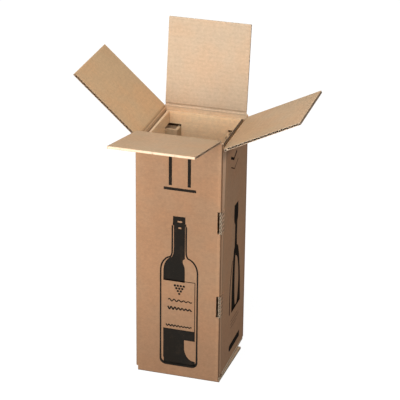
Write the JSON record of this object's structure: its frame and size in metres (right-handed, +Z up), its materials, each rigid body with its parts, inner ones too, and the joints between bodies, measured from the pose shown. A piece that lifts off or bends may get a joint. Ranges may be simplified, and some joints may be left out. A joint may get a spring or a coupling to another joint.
{
  "type": "wine shipping box",
  "caption": "Tall corrugated board carton for one bottle, with folding top flaps, a closed bottom and an inner sleeve whose corners are pushed in as cushions.",
  "frame": {"origin": "on the floor, mid-way between the four walls, at the middle of the outer bottom flap's underside", "axes": "+Z up along the carton, -Y out of the printed front wall, +X out of the right wall"},
  "size_m": [0.3591, 0.3043, 0.5511],
  "materials": {
    "carton_board": "brown kraft liner, matt",
    "sleeve_board": "brown kraft liner, matt"
  },
  "bodies": {
    "root": {"carton": "carton_board", "inner_sleeve": "sleeve_board"},
    "front_flap": {"flap_front": "carton_board"},
    "back_flap": {"flap_back": "carton_board"},
    "left_flap": {"flap_left": "carton_board"},
    "right_flap": {"flap_right": "carton_board"}
  },
  "joints": [
    {"name": "front_crease", "type": "hinge", "parent": "root", "child": "front_flap", "pos_m": [0, -0.0721, 0.418], "axis": [1, 0, 0], "range_deg": [-168, 34]},
    {"name": "back_crease", "type": "hinge", "parent": "root", "child": "back_flap", "pos_m": [0, 0.0721, 0.4106], "axis": [-1, 0, 0], "range_deg": [-97.6, 104.4]},
    {"name": "left_crease", "type": "hinge", "parent": "root", "child": "left_flap", "pos_m": [-0.0681, 0, 0.4064], "axis": [0, -1, 0], "range_deg": [-137.8, 64.2]},
    {"name": "right_crease", "type": "hinge", "parent": "root", "child": "right_flap", "pos_m": [0.0681, 0, 0.4022], "axis": [0, 1, 0], "range_deg": [-153.4, 48.6]}
  ]
}
